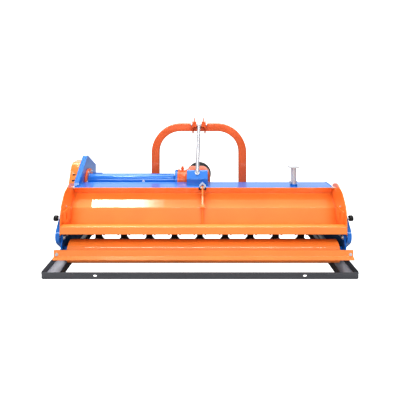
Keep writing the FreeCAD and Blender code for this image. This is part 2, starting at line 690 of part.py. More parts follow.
def gearbox():
    """Bevel gearbox casting: squarish body, output neck to the left, input neck to the front."""
    left, right = DRIVE_X - GEARBOX_HALF, DRIVE_X + GEARBOX_HALF
    outline = [(left, GEARBOX_BOTTOM_Z), (left, GEARBOX_TOP_Z, 22), (right, GEARBOX_TOP_Z, 60),
               (right, GEARBOX_BOTTOM_Z)]
    body = rear_profile(outline, GEARBOX_REAR_Y, GEARBOX_FRONT_Y)
    across = [edge for edge in body.Edges if edge.BoundBox.YLength < 1]
    rims = [edge for edge in across if edge.BoundBox.ZMax > GEARBOX_BOTTOM_Z + 1]
    body = body.makeChamfer(GEARBOX_CHAMFER, rims)
    neck = rod_x(GEARBOX_LEFT_X, DRIVE_X, DRIVE_Y, DRIVE_Z, OUTPUT_NECK_RADIUS)
    flange_end = GEARBOX_LEFT_X + OUTPUT_FLANGE_THICKNESS
    flange = rod_x(GEARBOX_LEFT_X, flange_end, DRIVE_Y, DRIVE_Z, OUTPUT_FLANGE_RADIUS)
    shoulder = Part.makeCone(OUTPUT_NECK_RADIUS, OUTPUT_SHOULDER_RADIUS, OUTPUT_SHOULDER_LENGTH,
                             Vector(left - OUTPUT_SHOULDER_LENGTH + 4, DRIVE_Y, DRIVE_Z), Vector(1, 0, 0))
    input_neck = rod_y(GEARBOX_FRONT_Y - 20, INPUT_NECK_END_Y, DRIVE_X, DRIVE_Z, INPUT_NECK_RADIUS)
    breather = rod_z(DRIVE_Z, BREATHER_TOP_Z, BREATHER_X, DRIVE_Y, BREATHER_RADIUS)
    casting = body.fuse([neck, flange, shoulder, input_neck, breather])
    bore = rod_y(PTO_SEAL_START_Y, INPUT_NECK_END_Y, DRIVE_X, DRIVE_Z, PTO_SEAL_RADIUS + RUNNING_GAP)
    return casting.cut([bore, gearbox_pad(), room_under_deck(-200, 200, GEARBOX_PAD / 2)])


def gearbox_pad():
    """Welded pad under the gearbox, following the housing's fold."""
    rear = GEARBOX_REAR_Y - GEARBOX_PAD_MARGIN
    front = GEARBOX_FRONT_Y + GEARBOX_PAD_MARGIN
    half = GEARBOX_HALF + GEARBOX_PAD_MARGIN
    path = [(rear, deck_z(rear)), (SLOPE_BREAK_Y, SLOPE_BREAK_Z), (front, slope_z(front))]
    return folded_sheet(path, GEARBOX_PAD, 0.5, DRIVE_X - half, DRIVE_X + half)


def gearbox_collar():
    """Plain collar between the gearbox and the shaft tube."""
    collar = rod_x(TUBE_RIGHT_X, GEARBOX_LEFT_X, DRIVE_Y, DRIVE_Z, COLLAR_RADIUS)
    return collar.cut([room_under_deck(TUBE_RIGHT_X, GEARBOX_LEFT_X), deck()])


def pto_shield():
    """Flared plastic shield round the PTO shaft, open to the front."""
    back = SHIELD_REAR_Y + SHIELD_WALL
    profile = [(INPUT_NECK_RADIUS, SHIELD_REAR_Y), (SHIELD_REAR_RADIUS, SHIELD_REAR_Y),
               (SHIELD_FRONT_RADIUS, SHIELD_FRONT_Y), (SHIELD_FRONT_RADIUS - SHIELD_WALL, SHIELD_FRONT_Y),
               (SHIELD_REAR_RADIUS - SHIELD_WALL, back), (INPUT_NECK_RADIUS, back)]
    corners = [Vector(DRIVE_X, y, DRIVE_Z + radius) for radius, y in profile]
    face = Part.Face(Part.makePolygon(corners + corners[:1]))
    return face.revolve(Vector(DRIVE_X, 0, DRIVE_Z), Vector(0, 1, 0), 360)


def pto_stub():
    """Driven end of the PTO input shaft, with the wider seat that runs in the gearbox's neck."""
    seat = rod_y(PTO_SEAL_START_Y, INPUT_NECK_END_Y, DRIVE_X, DRIVE_Z, PTO_SEAL_RADIUS)
    shaft = rod_y(PTO_SEAL_START_Y, PTO_END_Y, DRIVE_X, DRIVE_Z, PTO_RADIUS)
    tip = [edge for edge in shaft.Edges if edge.CenterOfMass.y > PTO_END_Y - 1]
    return seat.fuse(shaft.makeChamfer(2, tip))


# ---- Hitch ----

def hitch_hoop():
    """Square tube bent into the hitch frame, its legs standing on the front slope."""
    foot = slope_z(HOOP_Y + HOOP_TUBE)
    inside = HOOP_HALF - HOOP_TUBE
    inner_top = HOOP_TOP_Z - HOOP_TUBE
    inner_radius = HOOP_OUTER_RADIUS - HOOP_TUBE
    outline = [(-HOOP_HALF, foot), (-HOOP_HALF, HOOP_TOP_Z, HOOP_OUTER_RADIUS),
               (HOOP_HALF, HOOP_TOP_Z, HOOP_OUTER_RADIUS), (HOOP_HALF, foot), (inside, foot),
               (inside, inner_top, inner_radius), (-inside, inner_top, inner_radius), (-inside, foot)]
    tube = rear_profile(outline, HOOP_Y - HOOP_TUBE / 2, HOOP_Y + HOOP_TUBE / 2)
    return tube.cut(room_under_deck(-HOOP_HALF, HOOP_HALF)).translated(Vector(HITCH_X, 0, 0))


def brace_saddle():
    """Right half of the saddle on the hoop: a side plate and the lug that faces rearwards."""
    rear = HOOP_Y - HOOP_TUBE / 2
    front = HOOP_Y + HOOP_TUBE / 2
    outline = [(124, 862, 8), (rear + 4, 808, 10), (front + 12, 808, 10), (front + 12, 908, 10),
               (124, 908, 6)]
    plate = side_profile(outline, SADDLE_HALF - 10, SADDLE_HALF)
    lug_face = block((BRACE_EYE_HALF + 3, SADDLE_HALF - 10), (124, 132), (866, 906))
    peg = rod_z(890, PEG_TOP_Z, PEG_X, 128, PEG_RADIUS)
    lug_floor = block((BRACE_EYE_HALF + 3, SADDLE_HALF - 10), (132, rear), (866, 872))
    bar = block((0, SADDLE_HALF), (rear, front), (HOOP_TOP_Z - HOOP_TUBE, HOOP_TOP_Z))
    hole = rod_x(0, SADDLE_HALF, BRACE_EYE.y, BRACE_EYE.z, BRACE_PIN_RADIUS)
    return fused([plate, lug_face, lug_floor, peg]).cut([bar, hole])


def top_link_ear():
    """Right ear of the top-link clevis, on the hoop's front face."""
    face = HOOP_Y + HOOP_TUBE / 2
    outline = [(face, 826), (262, 836, 14), (305, 846, 24), (305, 890, 24), (262, 900, 14), (face, 888)]
    inner = EAR_GAP / 2
    ear = side_profile(outline, inner, inner + EAR_THICKNESS)
    return ear.cut(rod_x(inner, inner + EAR_THICKNESS, TOP_LINK_Y, TOP_LINK_Z, TOP_LINK_HOLE_RADIUS))


def lower_hitch_plate():
    """Right plate that carries a lower-link pin, welded to the front of the hoop's leg and the slope."""
    face = HOOP_Y + HOOP_TUBE / 2
    outline = [(face, slope_z(face)), (face, 520), (face + 26, 520, 12), (432, 380, 30), (432, 298, 30),
               (345, 284, 20), (SLOPE_FRONT_Y, SLOPE_FRONT_Z)]
    inner = HOOP_HALF - HITCH_PLATE_THICKNESS
    plate = side_profile(outline, inner, HOOP_HALF)
    return plate.cut(rod_x(inner, HOOP_HALF, LOWER_PIN_Y, LOWER_PIN_Z, LOWER_PIN_RADIUS))


def lower_link_pin():
    """Right lower-link pin with its shoulder outside the plate and the nut inside."""
    inner = HOOP_HALF - HITCH_PLATE_THICKNESS
    nut_end = inner - LOWER_PIN_NUT_THICKNESS
    pin_end = LOWER_PIN_SHOULDER + LOWER_PIN_LENGTH
    pin = rod_x(nut_end, pin_end, LOWER_PIN_Y, LOWER_PIN_Z, LOWER_PIN_RADIUS)
    shoulder = rod_x(HOOP_HALF, LOWER_PIN_SHOULDER, LOWER_PIN_Y, LOWER_PIN_Z, LOWER_PIN_SHOULDER_RADIUS)
    nut = hex_bar_x(nut_end, inner, LOWER_PIN_Y, LOWER_PIN_Z, LOWER_PIN_NUT_RADIUS)
    return fused([pin, shoulder, nut])


def brace_bracket():
    """Folded bracket on the deck that takes the lower end of the brace."""
    left, right = BRACKET_LEFT_X, BRACKET_RIGHT_X
    path = [(-115, DECK_TOP_Z), (-115, 520), (-72, 563), (-50, 563)]
    top = folded_sheet(path, BRACKET_SHEET, 3.0, left, right)
    gusset = path + [(-50, DECK_TOP_Z)]
    starts = (left, right - BRACKET_SHEET)
    ends = [side_profile(gusset, start, start + BRACKET_SHEET) for start in starts]
    return top.fuse(ends).removeSplitter()


def brace_strut():
    """Round brace from the deck bracket up to the hoop, with a foot and an eye."""
    across = Vector(0, -1, 1).normalize()
    foot = rod(BRACE_FOOT, BRACE_FOOT + across * BRACE_FOOT_THICKNESS, BRACE_FOOT_RADIUS)
    bar = rod(BRACE_FOOT + across * 2, BRACE_EYE, BRACE_RADIUS)
    left, right = HITCH_X - BRACE_EYE_HALF, HITCH_X + BRACE_EYE_HALF
    eye = rod_x(left, right, BRACE_EYE.y, BRACE_EYE.z, BRACE_EYE_RADIUS)
    bore = rod_x(left, right, BRACE_EYE.y, BRACE_EYE.z, BRACE_PIN_RADIUS)
    trim = rod(BRACE_FOOT, BRACE_FOOT - across * 40, 60)
    return foot.fuse([bar, eye]).cut([bore, trim])


def brace_pin():
    """Pin that holds the brace's eye in the saddle."""
    half = SADDLE_HALF + 10
    return rod_x(HITCH_X - half, HITCH_X + half, BRACE_EYE.y, BRACE_EYE.z, BRACE_PIN_RADIUS)


# ---- Parking stand ----

def stand_socket():
    """Collar on the deck and sleeve below it that hold the stored stand leg."""
    collar_top = DECK_TOP_Z + STAND_COLLAR_HEIGHT
    bore = rod_z(STAND_BOTTOM_Z, collar_top, STAND_X, STAND_Y, STAND_TUBE_RADIUS + RUNNING_GAP)
    collar = rod_z(DECK_TOP_Z, collar_top, STAND_X, STAND_Y, STAND_COLLAR_RADIUS)
    sleeve = rod_z(STAND_BOTTOM_Z + 4, DECK_TOP_Z - DECK_THICKNESS, STAND_X, STAND_Y, STAND_SLEEVE_RADIUS)
    return Part.Compound([collar.cut(bore), sleeve.cut(bore)])


def stand_leg():
    """Tube with a foot plate, stored foot up."""
    foot_bottom = STAND_TOP_Z - STAND_FOOT_THICKNESS
    tube = rod_z(STAND_BOTTOM_Z, foot_bottom, STAND_X, STAND_Y, STAND_TUBE_RADIUS)
    half = STAND_FOOT / 2
    x_range = (STAND_X - half, STAND_X + half)
    y_range = (STAND_Y - half, STAND_Y + half)
    foot = block(x_range, y_range, (foot_bottom, STAND_TOP_Z))
    return fused([tube, foot])


def build_nodes():
    """Every sub-part by name."""
    nodes = shipping_frame()
    nodes["deck"] = deck()
    right_plate = side_plate()
    nodes["side_plate_right"] = right_plate
    nodes["side_plate_left"] = other_side(right_plate)
    nodes["skids"] = housing_pair(skid())
    nodes["front_flaps"] = front_flaps()
    nodes["rotor_bearing_right"] = rotor_bearing()
    nodes["roller"] = roller()
    nodes["roller_bearings"] = housing_pair(roller_bearing())
    nodes["rear_guard"] = rear_guard()
    nodes["guard_brackets"] = housing_pair(guard_bracket())
    nodes["rotor_drum"] = rotor_drum()
    nodes["rotor_flails"] = rotor_flails()
    nodes["hood_skin"] = hood_skin()
    right_cheek = hood_cheek()
    nodes["hood_cheek_right"] = right_cheek
    nodes["hood_cheek_left"] = other_side(right_cheek)
    nodes["hood_rib"] = hood_rib()
    nodes["hood_lock_brackets"] = housing_pair(lock_bracket())
    nodes["hood_lock_knobs"] = housing_pair(lock_knob())
    nodes["hood_hinge_pins"] = housing_pair(hinge_pin())
    nodes["hood_centre_hinge"] = centre_hinge()
    nodes["belt_backplate"] = belt_backplate()
    nodes["belt_guard"] = belt_guard()
    nodes["shaft_tube"] = shaft_tube()
    nodes["shaft_tube_ring"] = tube_ring()
    nodes["gearbox"] = gearbox()
    nodes["gearbox_pad"] = gearbox_pad()
    nodes["gearbox_collar"] = gearbox_collar()
    nodes["pto_shield"] = pto_shield()
    nodes["pto_stub"] = pto_stub()
    nodes["hitch_hoop"] = hitch_hoop()
    nodes["brace_saddle"] = hitch_pair(brace_saddle())
    nodes["top_link_ears"] = hitch_pair(top_link_ear())
    nodes["lower_hitch_plates"] = hitch_pair(lower_hitch_plate())
    nodes["lower_link_pins"] = hitch_pair(lower_link_pin())
    nodes["brace_bracket"] = brace_bracket()
    nodes["brace_strut"] = brace_strut()
    nodes["brace_pin"] = brace_pin()
    nodes["stand_socket"] = stand_socket()
    nodes["stand_leg"] = stand_leg()
    return nodes


def main():
    """Write one STEP file for each sub-part."""
    os.makedirs("parts", exist_ok=True)
    for name, shape in build_nodes().items():
        shape.exportStep("parts/" + name + ".step")


main()
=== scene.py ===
import bmesh
import bpy
import json
import math
from mathutils import Matrix, Vector


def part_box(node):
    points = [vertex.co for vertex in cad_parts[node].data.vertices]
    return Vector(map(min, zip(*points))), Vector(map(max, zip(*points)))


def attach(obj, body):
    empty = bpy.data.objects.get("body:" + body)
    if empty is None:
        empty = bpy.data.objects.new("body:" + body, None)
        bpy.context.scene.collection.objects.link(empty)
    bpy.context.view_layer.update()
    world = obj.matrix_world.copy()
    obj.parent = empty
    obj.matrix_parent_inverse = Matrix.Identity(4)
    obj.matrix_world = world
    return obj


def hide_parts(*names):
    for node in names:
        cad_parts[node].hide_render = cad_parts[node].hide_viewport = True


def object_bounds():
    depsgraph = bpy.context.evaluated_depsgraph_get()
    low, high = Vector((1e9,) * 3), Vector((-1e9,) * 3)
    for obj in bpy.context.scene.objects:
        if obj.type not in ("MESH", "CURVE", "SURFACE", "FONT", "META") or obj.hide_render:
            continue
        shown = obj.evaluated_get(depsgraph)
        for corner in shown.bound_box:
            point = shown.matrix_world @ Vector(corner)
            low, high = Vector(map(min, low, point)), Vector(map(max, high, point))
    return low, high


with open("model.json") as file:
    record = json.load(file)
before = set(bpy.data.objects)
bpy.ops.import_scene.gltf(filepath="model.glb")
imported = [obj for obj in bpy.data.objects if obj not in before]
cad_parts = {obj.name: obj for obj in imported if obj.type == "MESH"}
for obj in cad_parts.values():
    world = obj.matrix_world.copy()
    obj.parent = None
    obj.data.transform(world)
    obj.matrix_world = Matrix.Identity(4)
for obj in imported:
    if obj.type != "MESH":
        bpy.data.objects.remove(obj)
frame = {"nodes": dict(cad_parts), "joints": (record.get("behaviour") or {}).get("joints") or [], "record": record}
cad_low, cad_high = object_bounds()

# Flail mulcher: paint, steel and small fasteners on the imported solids.
# Metres, +Z up, +Y towards the tractor.

PIVOTS = {joint["name"]: Vector(joint["pos_m"]) for joint in frame["joints"] if "pos_m" in joint}
HINGE = PIVOTS["hood_hinge"]
ROTOR = PIVOTS["rotor_turn"]
ROLLER = PIVOTS["roller_turn"]
PTO = PIVOTS["pto_turn"]
SLOTS = {row["node"]: row["material_slot"] for row in frame["record"]["subparts"]}
LOW, HIGH = 0, 1
X = Vector((1, 0, 0))
Y = Vector((0, 1, 0))
Z = Vector((0, 0, 1))


# ---- Finishes ----

class Shade:
    """One output in a finish's node tree. Sums written on it add Math nodes."""

    def __init__(self, tree, socket=None):
        self.tree = tree
        self.socket = socket

    def node(self, kind, settings=None, sockets=None, output=0):
        """Add a node: its settings first, then the values or links of its sockets."""
        made = self.tree.nodes.new("ShaderNode" + kind)
        for name, value in (settings or {}).items():
            setattr(made, name, value)
        for name, value in (sockets or {}).items():
            if isinstance(value, Shade):
                self.tree.links.new(value.socket, made.inputs[name])
            else:
                made.inputs[name].default_value = value
        return Shade(self.tree, made.outputs[output] if made.outputs else None)

    def sum(self, operation, first, second):
        return self.node("Math", {"operation": operation}, {0: first, 1: second})

    def __add__(self, other):
        return self.sum("ADD", self, other)

    def __radd__(self, other):
        return self.sum("ADD", other, self)

    def __sub__(self, other):
        return self.sum("SUBTRACT", self, other)

    def __rsub__(self, other):
        return self.sum("SUBTRACT", other, self)

    def __mul__(self, other):
        return self.sum("MULTIPLY", self, other)

    def __rmul__(self, other):
        return self.sum("MULTIPLY", other, self)


def noise(start, scale, detail=2.0, stretch=(1, 1, 1)):
    """Soft noise from 0 to 1, its grain pulled along an axis where stretch is under 1."""
    place = start.node("TexCoord", output="Object")
    turned = start.node("Mapping", {}, {"Vector": place, "Scale": stretch})
    return start.node("TexNoise", {}, {"Vector": turned, "Scale": scale, "Detail": detail})


def rise(start, value, low, high):
    """0 below low, 1 above high, smooth between."""
    settings = {"interpolation_type": "SMOOTHSTEP"}
    return start.node("MapRange", settings, {"Value": value, "From Min": low, "From Max": high})


def tinted(start, share, first, second):
    """Colour that goes from the first to the second with share."""
    sockets = {0: share, 6: first, 7: second}
    return start.node("Mix", {"data_type": "RGBA"}, sockets, output=2)


def worn_edges(start, width):
    """Mask of the outer edges, and the normal with those edges eased."""
    eased = start.node("Bevel", {"samples": 6}, {"Radius": width})
    flat = start.node("NewGeometry", output="Normal")
    likeness = start.node("VectorMath", {"operation": "DOT_PRODUCT"}, {0: eased, 1: flat}, output="Value")
    return 1 - likeness, eased


def dust_and_sheen(start, top):
    """Share of dust and painted sheen: on faces that look up, below a height, broken up by noise. The pale colour
    is partly dust and partly painted light on glossy black paint.
    """
    up = start.node("SeparateXYZ", {}, {0: start.node("NewGeometry", output="Normal")}, output="Z")
    height = start.node("SeparateXYZ", {}, {0: start.node("TexCoord", output="Object")}, output="Z")
    drift = noise(start, 9.0, 4.0, (1, 0.35, 1))
    lying = rise(start, up, 0.6, 0.95) * rise(start, height, top, top - 0.008)
    return lying * rise(start, drift, 0.30, 0.62)


def finish(name, build):
    """Material made by a function that gets a Shade to start from and returns the shader."""
    material = bpy.data.materials.new(name)
    material.use_nodes = True
    material.node_tree.nodes.clear()
    start = Shade(material.node_tree)
    start.node("OutputMaterial", {}, {"Surface": build(start)})
    return material


def rgba(colour, strength=1.0):
    """Opaque colour, its parts all multiplied by strength."""
    return tuple(part * strength for part in colour) + (1.0,)


def paint(colour, gloss=0.34, chips=0.3, coat=1.0, dust_and_sheen_top=None, thick=False):
    """Gloss paint on steel: faint mottling, orange peel, rubbed edges and a few chips to primer.

    Below a given height its up-facing faces turn pale, partly dust and partly painted sheen. Thick steel keeps its
    sharp edges, and thin sheet has them eased.
    """
    def build(start):
        edge, eased = worn_edges(start, 0.0018)
        cloud = noise(start, 3.0, 3.0)
        speck = noise(start, 150.0, 2.0)
        shade = tinted(start, rise(start, cloud, 0.3, 0.7), rgba(colour, 0.94), rgba(colour, 1.05))
        rubbed = rise(start, edge + speck * 0.2, 0.30, 0.7) * 0.25
        shade = tinted(start, rubbed, shade, rgba([0.65 * part + 0.2 for part in colour]))
        chipped = rise(start, edge * chips + speck * 0.5, 0.60, 0.66)
        shade = tinted(start, chipped, shade, rgba((0.16, 0.15, 0.14)))
        rough = gloss + 0.12 * cloud + 0.3 * chipped
        # Painted sheen with dust: low up-facing faces turn pale grey and rougher, partly dust and partly overhead
        # light mirrored in the gloss.
        if dust_and_sheen_top:
            dust_and_sheen_share = dust_and_sheen(start, dust_and_sheen_top)
            shade = tinted(start, dust_and_sheen_share, shade, rgba((0.50, 0.50, 0.54)))
            rough = rough + 0.35 * dust_and_sheen_share
        peel = noise(start, 380.0, 1.0)
        dents = noise(start, 4.0, 1.0)
        waviness = {"Height": dents, "Distance": 0.00105, "Strength": 0.6}
        bump = start.node("Bump", {}, waviness if thick else {**waviness, "Normal": eased})
        orange_peel = {"Height": peel, "Distance": 0.00012, "Strength": 0.2, "Normal": bump}
        bump = start.node("Bump", {}, orange_peel)
        sockets = {"Base Color": shade, "Roughness": rough, "Normal": bump, "Coat Weight": coat,
                   "Coat Roughness": 0.025}
        return start.node("BsdfPrincipled", {}, sockets)
    return build


def steel(colour, rough, metallic=1.0, grain=(1, 1, 1), stain=None):
    """Bare or plated steel with drawn grain, handling marks and stains."""
    def build(start):
        blotch = noise(start, 24.0, 4.0)
        fine = noise(start, 480.0, 3.0, grain)
        shade = tinted(start, fine, rgba(colour, 0.86), rgba(colour, 1.06))
        if stain:
            shade = tinted(start, rise(start, blotch, 0.5, 0.72) * 0.6, shade, rgba(stain))
        bump = start.node("Bump", {}, {"Height": fine, "Distance": 0.00005, "Strength": 0.15})
        sockets = {"Base Color": shade, "Roughness": rough + 0.2 * blotch - 0.08, "Metallic": metallic,
                   "Normal": bump}
        return start.node("BsdfPrincipled", {}, sockets)
    return build


def plastic(colour):
    """Moulded plastic with a fine grain and paler rubbed edges."""
    def build(start):
        edge, eased = worn_edges(start, 0.0015)
        grain = noise(start, 700.0, 2.0)
        paler = rgba([part + 0.06 for part in colour])
        shade = tinted(start, rise(start, edge, 0.15, 0.6) * 0.4, rgba(colour), paler)
        pits = {"Height": grain, "Distance": 0.0003, "Strength": 0.3, "Normal": eased}
        bump = start.node("Bump", {}, pits)
        sockets = {"Base Color": shade, "Roughness": 0.38 + 0.15 * grain, "Normal": bump}
        return start.node("BsdfPrincipled", {}, sockets)
    return build


ORANGE = (0.93, 0.290, 0.062)
RED_ORANGE = (0.76, 0.145, 0.033)
BLUE = (0.008, 0.165, 0.55)
FRAME_GREY = (0.098, 0.102, 0.114)
ZINC = (0.67, 0.68, 0.71)
ZINC_STAIN = (0.52, 0.53, 0.54)
WORN_IRON = (0.075, 0.06, 0.055)
IRON_STAIN = (0.04, 0.024, 0.02)

FINISHES = {name: finish(name, build) for name, build in {
    "orange_paint": paint(ORANGE),
    "red_orange_paint": paint(RED_ORANGE, gloss=0.38, chips=0.2, coat=0.5, thick=True),
    "blue_paint": paint(BLUE),
    # The frame's low up-facing webs get pale dust and painted sheen.
    "black_steel": paint(FRAME_GREY, gloss=0.42, chips=0.9, coat=0.5, dust_and_sheen_top=0.012),
    "rotor_steel": steel(WORN_IRON, 0.5, 0.6, stain=IRON_STAIN),
    "zinc": steel(ZINC, 0.32, 0.5, stain=ZINC_STAIN),
    "bare_steel": steel((0.55, 0.54, 0.52), 0.3, grain=(1, 0.05, 1)),
    "black_plastic": plastic((0.012, 0.012, 0.013)),
    "bearing_iron": steel((0.10, 0.10, 0.11), 0.5, 0.5),
}.items()}


def finish_solids():
    """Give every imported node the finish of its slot."""
    for node, slot in SLOTS.items():
        mesh = frame["nodes"][node].data
        mesh.materials.clear()
        mesh.materials.append(FINISHES[slot])


# ---- Making pieces ----

def as_mesh(shape):
    """Mesh of a shape that is only stamped, with its faces turned outwards."""
    bmesh.ops.recalc_face_normals(shape, faces=shape.faces)
    mesh = bpy.data.meshes.new("stamp")
    shape.to_mesh(mesh)
    shape.free()
    return mesh


def stamp(shape, mesh, place=Matrix()):
    """Add a mesh to a shape at a place."""
    before = len(shape.verts)
    shape.from_mesh(mesh)
    shape.verts.ensure_lookup_table()
    bmesh.ops.transform(shape, matrix=place, verts=shape.verts[before:])


def facing(place, axis):
    """Place for a part made upright at the origin, set so that it stands out along an axis."""
    return Matrix.Translation(place) @ Vector(axis).to_track_quat("Z", "Y").to_matrix().to_4x4()


def turned(profile, steps, closed=False):
    """Part turned about Z from (radius, height) corners: a solid with its ends on the axis, or a ring."""
    shape = bmesh.new()
    corners = [shape.verts.new((radius, 0, height)) for radius, height in profile]
    following = corners[1:] + corners[:1] if closed else corners[1:]
    lines = [shape.edges.new(ends) for ends in zip(corners, following)]
    bmesh.ops.spin(shape, geom=corners + lines, cent=(0, 0, 0), axis=(0, 0, 1), dvec=(0, 0, 0),
                   angle=math.tau, steps=steps, use_merge=True, use_duplicate=False)
    bmesh.ops.remove_doubles(shape, verts=shape.verts, dist=1e-6)
    return as_mesh(shape)


def piece(name, shape, slot, body="mulcher", crease=32):
    """Finished piece from a shape: smooth but for its creases, painted, and riding on its body."""
    bmesh.ops.recalc_face_normals(shape, faces=shape.faces)
    mesh = bpy.data.meshes.new(name)
    shape.to_mesh(mesh)
    shape.free()
    mesh.shade_smooth()
    mesh.set_sharp_from_angle(angle=math.radians(crease))
    mesh.materials.append(FINISHES[slot])
    made = bpy.data.objects.new(name, mesh)
    bpy.context.scene.collection.objects.link(made)
    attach(made, body)
    return made


def rounded(node, width):
    """A fixed node's own mesh with its sharp edges rounded over, shown in its place."""
    shape = bmesh.new()
    shape.from_mesh(frame["nodes"][node].data)
    bmesh.ops.remove_doubles(shape, verts=shape.verts, dist=1e-5)
    bmesh.ops.dissolve_limit(shape, angle_limit=math.radians(0.5), verts=shape.verts, edges=shape.edges)
    bend = math.radians(32)
    sharp = [edge for edge in shape.edges if edge.is_manifold and edge.calc_face_angle() > bend]
    bmesh.ops.bevel(shape, geom=sharp, offset=width, segments=3, profile=0.5, affect="EDGES", material=-1,
                    clamp_overlap=True)
    made = piece(node + "_rounded", shape, SLOTS[node], crease=40)
    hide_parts(node)


ROUNDED_EDGES = {
    "hitch_hoop": 0.006,
    "belt_guard": 0.006,
    "gearbox": 0.0025,
    "shaft_tube_ring": 0.0015,
    "gearbox_collar": 0.002,
    "rotor_bearing_right": 0.002,
    "lower_hitch_plates": 0.0012,
    "brace_strut": 0.001,
    "brace_pin": 0.0008,
    "stand_socket": 0.001,
    "shaft_tube": 0.0008,
    "shipping_bar_rear": 0.001,
    "shipping_bar_front": 0.001,
}


# ---- Fasteners and welds ----

def hex_bolt(size):
    """Hexagon bolt head on a washer, for a thread of this size."""
    shape = bmesh.new()
    rim = size * 1.2
    washer = size * 0.2
    stamp(shape, turned([(0, -0.0002), (rim, -0.0002), (rim, size * 0.14), (rim * 0.94, washer),
                         (0, washer)], 20))
    corner = size * 0.95
    top = size * 0.82
    stamp(shape, turned([(0, washer), (corner, washer), (corner, size * 0.72), (corner * 0.84, top),
                         (0, top)], 6))
    return as_mesh(shape)


def hex_nut(size):
    """Nut on a washer with the thread's end standing out of it."""
    shape = bmesh.new()
    rim = size * 1.2
    washer = size * 0.18
    stamp(shape, turned([(0, -0.0002), (rim, -0.0002), (rim, washer), (0, washer)], 20))
    corner = size * 0.95
    stamp(shape, turned([(0, washer), (corner * 0.9, washer), (corner, size * 0.28), (corner, size * 0.9),
                         (corner * 0.86, size), (0, size)], 6))
    end = size * 1.22
    thread = size * 0.5
    stamp(shape, turned([(0, size), (thread, size), (thread, end - 0.001), (size * 0.4, end), (0, end)], 12))
    return as_mesh(shape)


def grease_nipple():
    """Small nipple: hexagon, stem and ball."""
    shape = bmesh.new()
    stamp(shape, turned([(0, 0), (0.005, 0), (0.005, 0.004), (0, 0.004)], 6))
    stamp(shape, turned([(0, 0.004), (0.003, 0.004), (0.0022, 0.007), (0.0032, 0.009), (0.003, 0.0115),
                         (0.0015, 0.0125), (0, 0.0125)], 12))
    return as_mesh(shape)


def bolt_circle(centre, axis, radius, angles):
    """Places round a centre; 0 degrees is +Y for a circle along X, and +X for one along Y."""
    across = Y if abs(axis.x) > 0.5 else X
    turns = [math.radians(angle) for angle in angles]
    return [facing(centre + radius * (math.cos(turn) * across + math.sin(turn) * Z), axis) for turn in turns]


def bead(shape, stops, radius, closed=False):
    """Weld bead through the stops, rippled where one dab meets the next."""
    count = len(stops)
    frames = []
    for index, stop in enumerate(stops):
        ahead = stops[(index + 1) % count] if closed else stops[min(index + 1, count - 1)]
        behind = stops[index - 1] if closed or index else stops[0]
        swell = radius * (1.0 if index % 2 else 0.78)
        size = Matrix.Diagonal((swell, swell, swell, 1))
        frames.append(facing(stop, (ahead - behind).normalized()) @ size)
    if closed:
        frames.append(frames[0])
    ring = bmesh.ops.create_circle(shape, segments=7, radius=1.0, matrix=frames[0])["verts"]
    edges = list({edge for vert in ring for edge in vert.link_edges})
    if not closed:
        bmesh.ops.contextual_create(shape, geom=edges)
    for before, after in zip(frames, frames[1:]):
        grown = bmesh.ops.extrude_edge_only(shape, edges=edges)["geom"]
        ring = [item for item in grown if isinstance(item, bmesh.types.BMVert)]
        fresh = set(ring)
        grown_edges = [item for item in grown if isinstance(item, bmesh.types.BMEdge)]
        edges = [edge for edge in grown_edges if fresh.issuperset(edge.verts)]
        bmesh.ops.transform(shape, matrix=after @ before.inverted(), verts=ring)
    if not closed:
        bmesh.ops.contextual_create(shape, geom=edges)


def stops_along(start, end, pitch):
    """Evenly spaced stops on a straight line."""
    count = max(2, round((end - start).length / pitch))
    return [start.lerp(end, index / count) for index in range(count + 1)]


def stops_round(centre, axis, radius, pitch):
    """Evenly spaced stops round a circle."""
    count = 2 * round(math.pi * radius / pitch)
    turn = Vector(axis).to_track_quat("Z", "Y").to_matrix()
    steps = [math.tau * index / count for index in range(count)]
    return [centre + turn @ Vector((radius * math.cos(step), radius * math.sin(step), 0)) for step in steps]


def straight_bead(shape, start, end, radius=0.004, pitch=0.008):
    """Weld bead along a straight line."""
    bead(shape, stops_along(Vector(start), Vector(end), pitch), radius)


def round_bead(shape, centre, axis, across, radius, pitch):
    """Weld bead or wire ring round a centre, with this radius across."""
    bead(shape, stops_round(Vector(centre), axis, across, pitch), radius, closed=True)


# ---- Housing ----

ROLLER_ARM_BOLTS = ((-0.387, 0.214), (-0.335, 0.214))
BELT_GUARD_BOLTS = ((-0.03, 0.565), (0.13, 0.565), (-0.15, 0.2), (0.06, 0.2), (-0.07, 0.36), (0.19, 0.44))
REAR_GUARD_BOLT_Z = 0.139
ROTOR_BOLT_CIRCLE = 0.048
ROLLER_BOLT_CIRCLE = 0.0215
NIPPLE = Vector((0.951, 0, 0.039))
FLAP_COUNT = 28
VENT_SLOPE = math.radians(64.5)
VENT_FOOT = Vector((0, -0.088, 0.478))
# Each vent's height, and how deep its black painted-shade strip lies under the sheet's face. Below 0 it stands
# proud.
VENTS = ((0.4985, 0.004), (0.5375, -0.0004))


def both_sides(distance):
    """X at a distance left and right of the housing's centre line, each with its outward axis."""
    return ((HINGE.x - distance, -X), (HINGE.x + distance, X))


